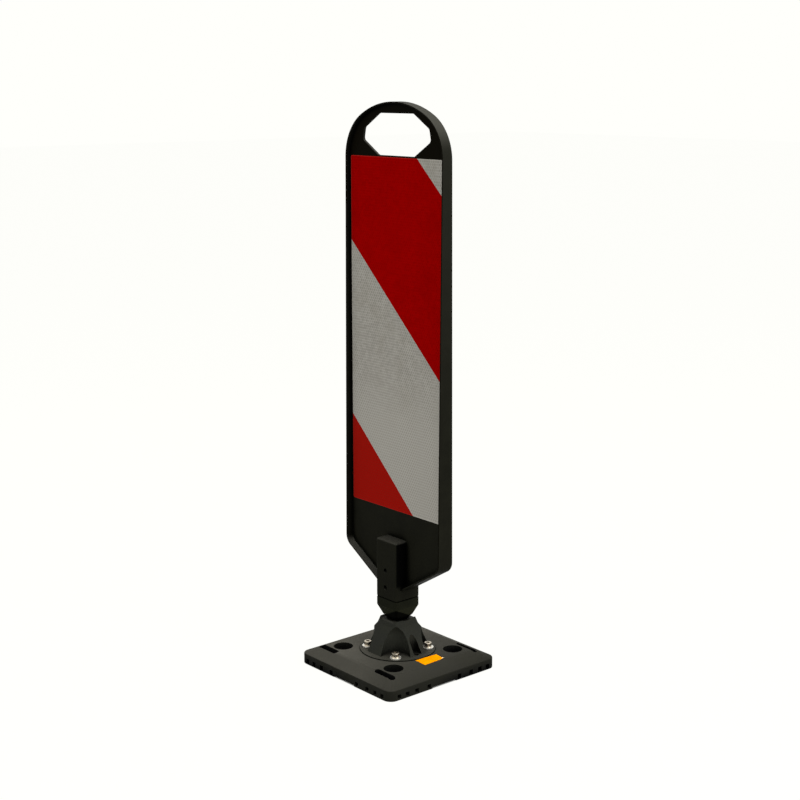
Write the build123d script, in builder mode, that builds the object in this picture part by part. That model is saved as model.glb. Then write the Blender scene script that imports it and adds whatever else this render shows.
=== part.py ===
from build123d import *

import os
from math import atan2, cos, hypot, radians, sin, sqrt, tan

# Traffic delineation panel: a striped board on a self-righting hinge, bolted to a square foot plate.
# Millimetres, +Z up. The origin is on the ground under the middle of the foot plate.
# The board stands in the XZ plane and its front faces -Y.

# Fits shared by the whole assembly
bolt_clearance = 0.3        # radial, bolt in its hole
thread_clearance = 0.05     # radial, bolt in its nut
press_clearance = 0.02      # radial, driven pin, cap or bush
running_clearance = 0.04    # radial, hinge pin in its bush
slip_clearance = 0.3        # per side, spigot in its socket
side_clearance = 0.3        # between the hinge eye and the bushes beside it
pocket_clearance = 0.3      # per side, screw head or nut in its pocket

# Foot plate
plate_side = 248.0
plate_corner_radius = 16.0
rim_height = 18.0
rim_round = 2.0
crown_side = 192.0
crown_corner_radius = 12.0
crown_height = 31.0
round_hole_diameter = 35.0
round_hole_spacing = 138.4
slot_length = 49.0
slot_width = 11.0
slot_spacing_x = 155.0
slot_spacing_y = 191.0
underside_gap = 2.6         # under the middle of each side
underside_gap_length = 56.0
notch_width = 8.5
notch_height = 8.4
notch_floor_z = 1.6
notch_depth = 13.0
notch_places = (35.4, 63.2, 84.6, 103.0)
seat_depth = 3.25           # recess that takes the housing's flange
seat_gap = 0.6
nut_pocket_gap = 2.0        # round the backing plate

# Marker film on the plate
marker_width = 24.4
marker_length = 46.0
marker_thickness = 0.3
marker_gap = 0.6            # from the recess
marker_shift = 5.0          # towards the back

# Fasteners that hold the housing down
foot_bolt_edge = 6.26       # from each bolt out to the edge of the backing plate
foot_bolt_diameter = 8.0
foot_head_diameter = 13.0
foot_head_height = 8.0
foot_head_round = 0.8
foot_key_across = 6.0
foot_key_depth = 4.0
foot_washer_diameter = 20.0
foot_washer_thickness = 1.6
foot_nut_across = 13.0
foot_nut_height = 6.5
foot_bolt_stickout = 1.0
backing_diameter = 120.0
backing_thickness = 4.0
backing_top_z = 15.0

# Hinge housing: a fluted square pyramid on a round flange
flange_diameter = 135.0
flange_thickness = 5.0
housing_base_reach = 17.0   # from the rows of bolts out to the foot of each face
housing_neck_side = 53.6
housing_neck_z = 79.0       # the faces are steeper above
housing_top_side = 46.8
housing_top_z = 90.2
housing_corner_radius = 5.0
rim_dip_z = 88.2            # front and back rims
rim_dip_width = 34.0
rim_bevel = 1.5
corner_flute_radius = 26.2
corner_flute_dome_z = 64.5  # domed above, at the front right and the back left
cone_flute_top_radius = 10.0
cone_flute_top_z = 76.0     # at the other two corners
side_flute_width = 17.5
side_flute_inner_x = 34.0
side_flute_draft = 2.0      # degrees
drain_diameter = 8.0
drain_x = 51.5
cavity_diameter = 35.0
bridge_z = 56.0
bridge_thickness = 10.0
throat_side = 31.0
throat_corner_radius = 4.0
ball_clearance = 1.0        # between the housing and the block's underside

# Hinge
pivot_z = 116.5
tilt_forward = 15.0         # degrees, as far as the slot lets the block lean to the front
pin_diameter = 10.0
pin_end_wall = 7.0          # block left beyond the pin's end
pin_cap_thickness = 3.0
eye_diameter = 20.0
eye_width = 9.0
eye_bush_wall = 1.2
torsion_bush_diameter = 19.6
post_width = 18.0
post_depth = 9.0
post_shoulder_side = 27.0
post_shoulder_height = 6.0
post_neck_gap = 2.0         # the post narrows this far below the torsion bushes
tail_diameter = 12.0
tail_washer_diameter = 24.0
tail_washer_thickness = 2.5
tail_nut_across = 18.0
tail_nut_height = 10.0
tail_stickout = 2.0

# Hinge block and its spigot
block_side = 54.4
block_corner_radius = 4.0
block_top_z = 128.5
block_taper_z = 113.0       # straight above, tapered below
block_taper = 24.0          # degrees from vertical
block_tongue_z = 88.0       # lowest point of each tapered face
block_underside_slope = 38.0
block_foot_z = 86.5
seam_bevel = 1.4            # round the seam between the block and the socket
block_slot_width = 25.6
block_slot_clearance = 0.6
spigot_side = 30.0
spigot_height = 76.0
spigot_corner_radius = 2.0

# Board
board_width = 250.0
board_top_z = 988.0
arch_rise = 93.0
shoulder_radius = 82.0
side_foot_z = 205.6         # where the side and the sloping foot would meet
foot_slope = 31.0           # degrees
foot_corner_radius = 22.0
web_thickness = 5.0
rim_thickness = 2.5
rim_depth_top = 19.5        # front to back, at the top of the arch
rim_depth_foot = 33.0       # at the seam with the block
rim_edge_round = 0.8
socket_height = 107.5
socket_top_round = 4.5
socket_room = 2.0           # above the spigot
grip_drop = 19.3            # from the top of the board down to the grip hole
grip_top_length = 87.0
grip_shoulder_drop = 24.2   # each drop is from the corner above
grip_shoulder_length = 165.0
grip_elbow_drop = 19.9
grip_elbow_length = 173.0
grip_bottom_drop = 25.6
grip_bottom_length = 91.0
grip_corner_radius = 7.0
grip_edge_round = 1.2

# Screws across the socket
screw_x = -2.0
screw_places_z = (149.0, 180.0)
screw_diameter = 5.0
screw_head_diameter = 8.0
screw_head_height = 5.0
screw_head_sink = 3.0
screw_key_across = 4.0
screw_key_depth = 2.5
screw_nut_across = 8.0
screw_nut_height = 4.0
screw_nut_sink = 1.0

# Reflective films
film_side_gap = 4.0         # from the rim
film_bottom_z = 285.5
film_top_gap = 2.5          # from the grip hole
film_corner_radius = 3.0
film_thickness = 0.4
stripe_drop = 258.7         # from the top of the film down to an edge of red, at mid width
stripe_height = 310.0
stripe_slope = 43.7         # degrees, falling to the right

# Levels and places that follow from the sizes above
foot_bolt_spacing = (backing_diameter / 2 - foot_bolt_edge) * sqrt(2)
housing_base_side = foot_bolt_spacing + 2 * housing_base_reach
grip_top_z = board_top_z - grip_drop
grip_shoulder_z = grip_top_z - grip_shoulder_drop
grip_elbow_z = grip_shoulder_z - grip_elbow_drop
grip_bottom_z = grip_elbow_z - grip_bottom_drop
film_width = board_width - 2 * rim_thickness - 2 * film_side_gap
film_top_z = grip_bottom_z - film_top_gap
stripe_edge_z = film_top_z - stripe_drop
flange_bottom_z = crown_height - seat_depth
flange_top_z = flange_bottom_z + flange_thickness
foot_head_z = flange_top_z + foot_washer_thickness
backing_bottom_z = backing_top_z - backing_thickness
foot_nut_z = backing_bottom_z - foot_nut_height
foot_bolt_z = foot_nut_z - foot_bolt_stickout
foot_bolt_hole = foot_bolt_diameter / 2 + bolt_clearance
foot_corners = [
    (x, y)
    for x in (-foot_bolt_spacing / 2, foot_bolt_spacing / 2)
    for y in (-foot_bolt_spacing / 2, foot_bolt_spacing / 2)
]
housing_height = housing_top_z - flange_top_z
bridge_top_z = bridge_z + bridge_thickness
tail_washer_z = bridge_z - tail_washer_thickness
tail_nut_z = tail_washer_z - tail_nut_height
tail_z = tail_nut_z - tail_stickout
bush_bore = pin_diameter / 2 + running_clearance
bush_radius = bush_bore + eye_bush_wall
block_half = block_side / 2
tongue_half = block_half - (block_taper_z - block_tongue_z) * tan(radians(block_taper))
ball_radius = hypot(tongue_half, pivot_z - block_tongue_z)
sweep_radius = hypot(block_half, pivot_z - block_taper_z)
pin_x = -block_half + pin_cap_thickness
pin_end_x = block_half - pin_end_wall
screw_head_y = -block_half + screw_head_sink + screw_head_height
screw_nut_y = block_half - screw_nut_sink - screw_nut_height
screw_spots = [(screw_x, z) for z in screw_places_z]
pin_plane = Plane(origin=(0, 0, pivot_z), x_dir=(0, 1, 0), z_dir=(1, 0, 0))


def corner_radius_of(across_flats):
    return across_flats / sqrt(3)


# Foot plate: moulded rubber, raised in the middle
with BuildPart() as base_plate:
    with BuildSketch() as plate_outline:
        RectangleRounded(plate_side, plate_side, plate_corner_radius)
    extrude(amount=rim_height)
    with BuildSketch(Plane.XY.offset(rim_height)):
        add(plate_outline.sketch_local)
    with BuildSketch(Plane.XY.offset(crown_height)):
        RectangleRounded(crown_side, crown_side, crown_corner_radius)
    loft(ruled=True)
    crown_edges = base_plate.edges().group_by(Axis.Z)[-1]
    rim_edges = base_plate.edges().filter_by_position(Axis.Z, rim_height, rim_height)
    fillet(crown_edges + rim_edges, radius=rim_round)
    # Recess for the housing's flange, and a pocket underneath for the backing plate
    with BuildSketch(Plane.XY.offset(crown_height)):
        Circle(flange_diameter / 2 + seat_gap)
    extrude(amount=-seat_depth, mode=Mode.SUBTRACT)
    with BuildSketch():
        Circle(backing_diameter / 2 + nut_pocket_gap)
    extrude(amount=backing_top_z, mode=Mode.SUBTRACT)
    # Anchor holes, slots and bolt holes, right through
    with BuildSketch():
        with GridLocations(round_hole_spacing, round_hole_spacing, 2, 2):
            Circle(round_hole_diameter / 2)
        with GridLocations(slot_spacing_x, slot_spacing_y, 2, 2):
            SlotOverall(slot_length, slot_width)
        with Locations(*foot_corners):
            Circle(foot_bolt_hole)
    extrude(amount=crown_height, mode=Mode.SUBTRACT)
    # The plate stands on its corners, and pockets run in from its edges
    with BuildSketch():
        Rectangle(plate_side, underside_gap_length)
        Rectangle(underside_gap_length, plate_side)
    extrude(amount=underside_gap, mode=Mode.SUBTRACT)
    with BuildSketch(Plane.XY.offset(notch_floor_z)):
        with PolarLocations(0, 4):
            for place in notch_places:
                with Locations((-place, plate_side / 2), (place, plate_side / 2)):
                    Rectangle(notch_width, 2 * notch_depth)
    extrude(amount=notch_height, mode=Mode.SUBTRACT)
base_plate.part.label = "base_plate"

# Orange film between the recess and the edge of the crown
with BuildPart() as marker_film:
    marker_x = flange_diameter / 2 + seat_gap + marker_gap + marker_width / 2
    with BuildSketch(Plane.XY.offset(crown_height)):
        with Locations((marker_x, marker_shift)):
            Rectangle(marker_width, marker_length)
    extrude(amount=marker_thickness)
marker_film.part.label = "marker_film"

# Steel disc in the pocket, and the nuts that bear on it
with BuildPart() as backing_plate:
    with BuildSketch(Plane.XY.offset(backing_bottom_z)):
        Circle(backing_diameter / 2)
        with Locations(*foot_corners):
            Circle(foot_bolt_hole, mode=Mode.SUBTRACT)
    extrude(amount=backing_thickness)
backing_plate.part.label = "backing_plate"

with BuildPart() as foot_nuts:
    with BuildSketch(Plane.XY.offset(foot_nut_z)):
        with Locations(*foot_corners):
            RegularPolygon(corner_radius_of(foot_nut_across), 6)
            Circle(foot_bolt_diameter / 2 + thread_clearance, mode=Mode.SUBTRACT)
    extrude(amount=foot_nut_height)
foot_nuts.part.label = "foot_nuts"

with BuildPart() as foot_washers:
    with BuildSketch(Plane.XY.offset(flange_top_z)):
        with Locations(*foot_corners):
            Circle(foot_washer_diameter / 2)
            Circle(foot_bolt_hole, mode=Mode.SUBTRACT)
    extrude(amount=foot_washer_thickness)
foot_washers.part.label = "foot_washers"

# Socket-head screws down through the flange, the plate and the disc
with BuildPart() as foot_bolts:
    with BuildSketch(Plane.XY.offset(foot_head_z)):
        with Locations(*foot_corners):
            Circle(foot_head_diameter / 2)
    extrude(amount=foot_head_height)
    fillet(foot_bolts.edges().group_by(Axis.Z)[-1], radius=foot_head_round)
    with BuildSketch(Plane.XY.offset(foot_head_z + foot_head_height)):
        with Locations(*foot_corners):
            RegularPolygon(corner_radius_of(foot_key_across), 6)
    extrude(amount=-foot_key_depth, mode=Mode.SUBTRACT)
    with BuildSketch(Plane.XY.offset(foot_bolt_z)):
        with Locations(*foot_corners):
            Circle(foot_bolt_diameter / 2)
    extrude(amount=foot_head_z - foot_bolt_z)
foot_bolts.part.label = "foot_bolts"

# Hinge housing: pyramid, flutes round the bolts, flange, and a hollow with a bridge for the post
with BuildPart() as hinge_housing:
    with BuildSketch(Plane.XY.offset(flange_top_z)):
        RectangleRounded(housing_base_side, housing_base_side, housing_corner_radius)
    with BuildSketch(Plane.XY.offset(housing_neck_z)):
        RectangleRounded(housing_neck_side, housing_neck_side, housing_corner_radius)
    loft(ruled=True)
    with BuildSketch(Plane.XY.offset(housing_neck_z)):
        RectangleRounded(housing_neck_side, housing_neck_side, housing_corner_radius)
    with BuildSketch(Plane.XY.offset(housing_top_z)):
        RectangleRounded(housing_top_side, housing_top_side, housing_corner_radius)
    loft(ruled=True)
    # The front and back rims dip between the ears, with a bevel along each
    dip_half = rim_dip_width / 2
    rim_share = (rim_dip_z - housing_neck_z) / (housing_top_z - housing_neck_z)
    rim_half = (housing_neck_side + (housing_top_side - housing_neck_side) * rim_share) / 2
    ear_half = housing_top_side / 2
    with BuildSketch(Plane.XZ):
        with BuildLine():
            Polyline(
                (-dip_half, rim_dip_z),
                (dip_half, rim_dip_z),
                (ear_half, housing_top_z),
                (ear_half, housing_top_z + housing_height),
                (-ear_half, housing_top_z + housing_height),
                (-ear_half, housing_top_z),
                close=True,
            )
        make_face()
    extrude(amount=housing_base_side, both=True, mode=Mode.SUBTRACT)
    with BuildSketch(Plane.YZ):
        for side in (-1, 1):
            with BuildLine():
                Polyline(
                    (side * (rim_half - rim_bevel), rim_dip_z),
                    (side * (rim_half + rim_bevel), rim_dip_z),
                    (side * (rim_half + rim_bevel), rim_dip_z - 2 * rim_bevel),
                    close=True,
                )
            make_face()
    extrude(amount=dip_half, both=True, mode=Mode.SUBTRACT)
    # Flutes that clear the bolts, two domed and two coned, and a rounded flute in each side
    with Locations(*[(x, y, flange_top_z) for x, y in foot_corners if x * y < 0]):
        Cylinder(
            corner_flute_radius,
            corner_flute_dome_z - flange_top_z,
            align=(Align.CENTER, Align.CENTER, Align.MIN),
            mode=Mode.SUBTRACT,
        )
    with Locations(*[(x, y, corner_flute_dome_z) for x, y in foot_corners if x * y < 0]):
        Sphere(corner_flute_radius, mode=Mode.SUBTRACT)
    with Locations(*[(x, y, flange_top_z) for x, y in foot_corners if x * y > 0]):
        Cone(
            corner_flute_radius,
            cone_flute_top_radius,
            cone_flute_top_z - flange_top_z,
            align=(Align.CENTER, Align.CENTER, Align.MIN),
            mode=Mode.SUBTRACT,
        )
    with BuildSketch(Plane.XY.offset(flange_top_z)):
        with PolarLocations(side_flute_inner_x + side_flute_width / 2, 2):
            Circle(side_flute_width / 2)
            Rectangle(housing_base_side, side_flute_width, align=(Align.MIN, Align.CENTER))
    extrude(amount=housing_height, taper=side_flute_draft, mode=Mode.SUBTRACT)
    # Flange with its bolt holes and drain holes
    with BuildSketch(Plane.XY.offset(flange_bottom_z)):
        Circle(flange_diameter / 2)
        with Locations(*foot_corners):
            Circle(foot_bolt_hole, mode=Mode.SUBTRACT)
        with Locations((-drain_x, 0), (drain_x, 0)):
            Circle(drain_diameter / 2, mode=Mode.SUBTRACT)
    extrude(amount=flange_thickness)
    # Cavity below the bridge, throat above it, and the hole for the post's tail
    with BuildSketch(Plane.XY.offset(flange_bottom_z)):
        Circle(cavity_diameter / 2)
    extrude(amount=bridge_z - flange_bottom_z, mode=Mode.SUBTRACT)
    with BuildSketch(Plane.XY.offset(bridge_z)):
        Circle(tail_diameter / 2 + bolt_clearance)
    extrude(amount=bridge_thickness, mode=Mode.SUBTRACT)
    with BuildSketch(Plane.XY.offset(bridge_top_z)):
        RectangleRounded(throat_side, throat_side, throat_corner_radius)
    extrude(amount=housing_height, mode=Mode.SUBTRACT)
    # The ears are hollowed to a ball about the pivot and scooped along the pin, clear of the block at every tilt
    with Locations((0, 0, pivot_z)):
        Sphere(ball_radius + ball_clearance, mode=Mode.SUBTRACT)
    with BuildSketch(pin_plane):
        Circle(sweep_radius + ball_clearance)
    extrude(amount=housing_base_side, both=True, mode=Mode.SUBTRACT)
hinge_housing.part.label = "hinge_housing"

# Pivot post: an eye on a flat shank, with a shoulder on the bridge and a threaded tail below it
with BuildPart() as pivot_post:
    neck_z = pivot_z - torsion_bush_diameter / 2 - post_neck_gap
    with BuildSketch(Plane.XY.offset(tail_z)):
        Circle(tail_diameter / 2)
    extrude(amount=bridge_top_z - tail_z)
    with BuildSketch(Plane.XY.offset(bridge_top_z)):
        Rectangle(post_shoulder_side, post_shoulder_side)
    extrude(amount=post_shoulder_height)
    with BuildSketch(Plane.XY.offset(bridge_top_z)):
        Rectangle(post_width, post_depth)
    extrude(amount=neck_z - bridge_top_z)
    with BuildSketch(Plane.XY.offset(neck_z)):
        Rectangle(eye_width, post_depth)
    extrude(amount=pivot_z - neck_z)
    with BuildSketch(pin_plane):
        Circle(eye_diameter / 2)
    extrude(amount=eye_width / 2, both=True)
    with BuildSketch(pin_plane):
        Circle(bush_radius + press_clearance)
    extrude(amount=eye_width / 2, both=True, mode=Mode.SUBTRACT)
pivot_post.part.label = "pivot_post"

with BuildPart() as post_washer:
    with BuildSketch(Plane.XY.offset(tail_washer_z)):
        Circle(tail_washer_diameter / 2)
        Circle(tail_diameter / 2 + bolt_clearance, mode=Mode.SUBTRACT)
    extrude(amount=tail_washer_thickness)
post_washer.part.label = "post_washer"

with BuildPart() as post_nut:
    with BuildSketch(Plane.XY.offset(tail_nut_z)):
        RegularPolygon(corner_radius_of(tail_nut_across), 6)
        Circle(tail_diameter / 2 + thread_clearance, mode=Mode.SUBTRACT)
    extrude(amount=tail_nut_height)
post_nut.part.label = "post_nut"

# Plain bearing pressed into the eye
with BuildPart() as eye_bush:
    with BuildSketch(pin_plane):
        Circle(bush_radius)
        Circle(bush_bore, mode=Mode.SUBTRACT)
    extrude(amount=eye_width / 2, both=True)
eye_bush.part.label = "eye_bush"

# Hinge pin, driven in from the block's left side, and the cap that closes its bore
with BuildPart() as hinge_pin:
    with BuildSketch(pin_plane.offset(pin_x)):
        Circle(pin_diameter / 2)
    extrude(amount=pin_end_x - pin_x)
hinge_pin.part.label = "hinge_pin"

with BuildPart() as pin_cap:
    with BuildSketch(pin_plane.offset(-block_half)):
        Circle(pin_diameter / 2)
    extrude(amount=pin_cap_thickness)
pin_cap.part.label = "pin_cap"

# Rubber rings beside the eye: twisted as the board tilts, they bring it upright
with BuildPart() as torsion_bushes:
    bush_end_x = eye_width / 2 + side_clearance
    for side in (-1, 1):
        with BuildSketch(pin_plane.offset(side * block_slot_width / 2)):
            Circle(torsion_bush_diameter / 2)
            Circle(pin_diameter / 2 + press_clearance, mode=Mode.SUBTRACT)
        extrude(amount=side * (bush_end_x - block_slot_width / 2))
torsion_bushes.part.label = "torsion_bushes"

# Hinge block: square above, tapered and turned below, slotted for the post, with a spigot on top
with BuildPart() as hinge_block:
    taper_shift = (block_taper_z - block_foot_z) * tan(radians(block_taper))
    foot_side = block_side - 2 * taper_shift
    with BuildSketch(Plane.XY.offset(block_foot_z)):
        RectangleRounded(foot_side, foot_side, block_corner_radius * foot_side / block_side)
    with BuildSketch(Plane.XY.offset(block_taper_z)):
        RectangleRounded(block_side, block_side, block_corner_radius)
    loft(ruled=True)
    with BuildSketch(Plane.XY.offset(block_taper_z)):
        RectangleRounded(block_side, block_side, block_corner_radius)
    extrude(amount=block_top_z - block_taper_z)
    chamfer(hinge_block.edges().group_by(Axis.Z)[-1], length=seam_bevel)
    # The underside is turned to a cone, so each face ends in a rounded tongue
    underside_rise = tan(radians(block_underside_slope))
    foot_radius = tongue_half - (block_tongue_z - block_foot_z) / underside_rise
    with BuildSketch(Plane.XZ):
        with BuildLine():
            Polyline(
                (0, block_foot_z),
                (foot_radius, block_foot_z),
                (foot_radius + block_side, block_foot_z + block_side * underside_rise),
                (foot_radius + block_side, block_top_z + block_side * underside_rise),
                (0, block_top_z + block_side * underside_rise),
                close=True,
            )
        make_face()
    revolve(axis=Axis.Z, mode=Mode.INTERSECT)
    with BuildSketch(Plane.XY.offset(block_top_z)):
        RectangleRounded(spigot_side, spigot_side, spigot_corner_radius)
    extrude(amount=spigot_height)
    # Slot for the post: its front wall is the forward stop, and it runs out through the back
    slot_half = post_depth / 2 + block_slot_clearance
    lean = radians(tilt_forward)
    wall_top = (-slot_half * cos(lean), slot_half * sin(lean))
    wall_foot = (wall_top[0] - block_side * sin(lean), wall_top[1] - block_side * cos(lean))
    with BuildSketch(pin_plane):
        with BuildLine():
            Polyline(
                wall_top,
                wall_foot,
                (block_side, wall_foot[1]),
                (block_side, slot_half),
                (0, slot_half),
                close=True,
            )
        make_face()
        Circle(eye_diameter / 2 + block_slot_clearance)
    extrude(amount=block_slot_width / 2, both=True, mode=Mode.SUBTRACT)
    with BuildSketch(pin_plane.offset(-block_half)):
        Circle(pin_diameter / 2 + press_clearance)
    extrude(amount=pin_end_x + block_half, mode=Mode.SUBTRACT)
    # Holes across the spigot for the socket's screws
    with BuildSketch(Plane.XZ):
        with Locations(*screw_spots):
            Circle(screw_diameter / 2 + bolt_clearance)
    extrude(amount=block_side, both=True, mode=Mode.SUBTRACT)
hinge_block.part.label = "hinge_block"

# Outline of the board: a three-centred arch on straight sides, with a sloping foot
board_half = board_width / 2
spring_z = board_top_z - arch_rise
shoulder_x = board_half - shoulder_radius
crown_drop = arch_rise - shoulder_radius
crown_radius = shoulder_radius + (shoulder_x**2 + crown_drop**2) / (2 * crown_drop)
crown_z = board_top_z - crown_radius
join_angle = atan2(spring_z - crown_z, shoulder_x)
join_x = crown_radius * cos(join_angle)
join_z = crown_z + crown_radius * sin(join_angle)
shoulder_mid_x = shoulder_x + shoulder_radius * cos(join_angle / 2)
shoulder_mid_z = spring_z + shoulder_radius * sin(join_angle / 2)
foot_half = spigot_side / 2 + slip_clearance
foot_z = side_foot_z - (board_half - foot_half) * tan(radians(foot_slope))
with BuildSketch(Plane.XZ) as board_outline:
    with BuildLine():
        ThreePointArc((board_half, spring_z), (shoulder_mid_x, shoulder_mid_z), (join_x, join_z))
        ThreePointArc((join_x, join_z), (0, board_top_z), (-join_x, join_z))
        ThreePointArc((-join_x, join_z), (-shoulder_mid_x, shoulder_mid_z), (-board_half, spring_z))
        Polyline(
            (-board_half, spring_z),
            (-board_half, side_foot_z),
            (-foot_half, foot_z),
            (foot_half, foot_z),
            (board_half, side_foot_z),
            (board_half, spring_z),
        )
    make_face()
    fillet(board_outline.vertices().group_by(Axis.Y)[1], radius=foot_corner_radius)
with BuildSketch(Plane.XZ) as board_recess:
    add(board_outline.sketch_local)
    offset(amount=-rim_thickness, mode=Mode.REPLACE)

# Socket at the foot of the board, the same section as the block below it
with BuildPart() as socket_body:
    with BuildSketch(Plane.XY.offset(block_top_z)):
        RectangleRounded(block_side, block_side, block_corner_radius)
    extrude(amount=socket_height)
    fillet(socket_body.edges().group_by(Axis.Z)[-1], radius=socket_top_round)
    chamfer(socket_body.edges().group_by(Axis.Z)[0], length=seam_bevel)

# Board: an H-section moulding with a rim all round, thinner front to back towards the top
with BuildPart() as panel_board:
    extrude(board_outline.sketch, amount=rim_depth_foot, both=True)
    rim_lean = (rim_depth_foot - rim_depth_top) / 2 / (board_top_z - block_top_z)
    with BuildSketch(Plane.YZ):
        with BuildLine():
            Polyline(
                (-rim_depth_foot / 2, block_top_z),
                (rim_depth_foot / 2, block_top_z),
                (rim_depth_top / 2 - rim_lean * arch_rise, board_top_z + arch_rise),
                (-rim_depth_top / 2 + rim_lean * arch_rise, board_top_z + arch_rise),
                close=True,
            )
        make_face()
    extrude(amount=board_width, both=True, mode=Mode.INTERSECT)
    fillet(panel_board.edges().filter_by(Axis.Y, reverse=True), radius=rim_edge_round)
    for side in (-1, 1):
        with BuildSketch(Plane.XZ.offset(side * web_thickness / 2)):
            add(board_recess.sketch_local)
        extrude(amount=side * rim_depth_foot, mode=Mode.SUBTRACT)
    # Grip hole through the web below the arch
    with BuildSketch(Plane.XZ) as grip_outline:
        with BuildLine():
            Polyline(
                (grip_top_length / 2, grip_top_z),
                (grip_shoulder_length / 2, grip_shoulder_z),
                (grip_elbow_length / 2, grip_elbow_z),
                (grip_bottom_length / 2, grip_bottom_z),
                (-grip_bottom_length / 2, grip_bottom_z),
                (-grip_elbow_length / 2, grip_elbow_z),
                (-grip_shoulder_length / 2, grip_shoulder_z),
                (-grip_top_length / 2, grip_top_z),
                close=True,
            )
        make_face()
        fillet(grip_outline.vertices(), radius=grip_corner_radius)
    extrude(amount=web_thickness, both=True, mode=Mode.SUBTRACT)
    grip_edges = panel_board.edges(Select.LAST).filter_by(Axis.Y, reverse=True)
    fillet(grip_edges, radius=grip_edge_round)
    # Socket with its bore, and the sunk screws across it
    add(socket_body.part)
    with BuildSketch(Plane.XY.offset(block_top_z)):
        bore_side = spigot_side + 2 * slip_clearance
        RectangleRounded(bore_side, bore_side, spigot_corner_radius + slip_clearance)
    extrude(amount=spigot_height + socket_room, mode=Mode.SUBTRACT)
    with BuildSketch(Plane.XZ):
        with Locations(*screw_spots):
            Circle(screw_diameter / 2 + bolt_clearance)
    extrude(amount=block_side, both=True, mode=Mode.SUBTRACT)
    with BuildSketch(Plane.XZ.offset(-screw_head_y)):
        with Locations(*screw_spots):
            Circle(screw_head_diameter / 2 + pocket_clearance)
    extrude(amount=block_half, mode=Mode.SUBTRACT)
    with BuildSketch(Plane.XZ.offset(-screw_nut_y)):
        with Locations(*screw_spots):
            RegularPolygon(corner_radius_of(screw_nut_across + 2 * pocket_clearance), 6)
    extrude(amount=-block_half, mode=Mode.SUBTRACT)
panel_board.part.label = "panel_board"

with BuildPart() as socket_screws:
    with BuildSketch(Plane.XZ.offset(-screw_head_y)):
        with Locations(*screw_spots):
            Circle(screw_head_diameter / 2)
    extrude(amount=screw_head_height)
    with BuildSketch(Plane.XZ.offset(-screw_head_y + screw_head_height)):
        with Locations(*screw_spots):
            RegularPolygon(corner_radius_of(screw_key_across), 6)
    extrude(amount=-screw_key_depth, mode=Mode.SUBTRACT)
    with BuildSketch(Plane.XZ.offset(-screw_head_y)):
        with Locations(*screw_spots):
            Circle(screw_diameter / 2)
    extrude(amount=screw_head_y - screw_nut_y - screw_nut_height)
socket_screws.part.label = "socket_screws"

with BuildPart() as socket_nuts:
    with BuildSketch(Plane.XZ.offset(-screw_nut_y)):
        with Locations(*screw_spots):
            RegularPolygon(corner_radius_of(screw_nut_across), 6)
            Circle(screw_diameter / 2 + thread_clearance, mode=Mode.SUBTRACT)
    extrude(amount=-screw_nut_height)
socket_nuts.part.label = "socket_nuts"


# Reflective films: slanting stripes cut to one rounded rectangle on each face of the web
def stripe_film(plane, stripe_bottoms):
    drop = film_width * tan(radians(stripe_slope))
    film_height = film_top_z - film_bottom_z
    with BuildPart() as film:
        with BuildSketch(plane):
            for bottom in stripe_bottoms:
                with BuildLine():
                    Polyline(
                        (-film_width, bottom + drop),
                        (film_width, bottom - drop),
                        (film_width, bottom + stripe_height - drop),
                        (-film_width, bottom + stripe_height + drop),
                        close=True,
                    )
                make_face()
            with Locations((0, (film_bottom_z + film_top_z) / 2)):
                RectangleRounded(film_width, film_height, film_corner_radius, mode=Mode.INTERSECT)
        extrude(amount=film_thickness)
    return film


red_bottoms = (stripe_edge_z, stripe_edge_z - 2 * stripe_height)
white_bottoms = (stripe_edge_z + stripe_height, stripe_edge_z - stripe_height)
front_face = Plane.XZ.offset(web_thickness / 2)
back_face = Plane(origin=(0, web_thickness / 2, 0), x_dir=(-1, 0, 0), z_dir=(0, 1, 0))
front_red_film = stripe_film(front_face, red_bottoms)
front_red_film.part.label = "front_red_film"
front_white_film = stripe_film(front_face, white_bottoms)
front_white_film.part.label = "front_white_film"
back_red_film = stripe_film(back_face, red_bottoms)
back_red_film.part.label = "back_red_film"
back_white_film = stripe_film(back_face, white_bottoms)
back_white_film.part.label = "back_white_film"

os.makedirs("parts", exist_ok=True)
export_step(base_plate.part, "parts/base_plate.step")
export_step(marker_film.part, "parts/marker_film.step")
export_step(backing_plate.part, "parts/backing_plate.step")
export_step(foot_nuts.part, "parts/foot_nuts.step")
export_step(foot_washers.part, "parts/foot_washers.step")
export_step(foot_bolts.part, "parts/foot_bolts.step")
export_step(hinge_housing.part, "parts/hinge_housing.step")
export_step(pivot_post.part, "parts/pivot_post.step")
export_step(post_washer.part, "parts/post_washer.step")
export_step(post_nut.part, "parts/post_nut.step")
export_step(eye_bush.part, "parts/eye_bush.step")
export_step(hinge_pin.part, "parts/hinge_pin.step")
export_step(pin_cap.part, "parts/pin_cap.step")
export_step(torsion_bushes.part, "parts/torsion_bushes.step")
export_step(hinge_block.part, "parts/hinge_block.step")
export_step(panel_board.part, "parts/panel_board.step")
export_step(socket_screws.part, "parts/socket_screws.step")
export_step(socket_nuts.part, "parts/socket_nuts.step")
export_step(front_red_film.part, "parts/front_red_film.step")
export_step(front_white_film.part, "parts/front_white_film.step")
export_step(back_red_film.part, "parts/back_red_film.step")
export_step(back_white_film.part, "parts/back_white_film.step")
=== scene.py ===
import math

import bmesh
import bpy
from mathutils import Matrix, Vector, noise


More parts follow.
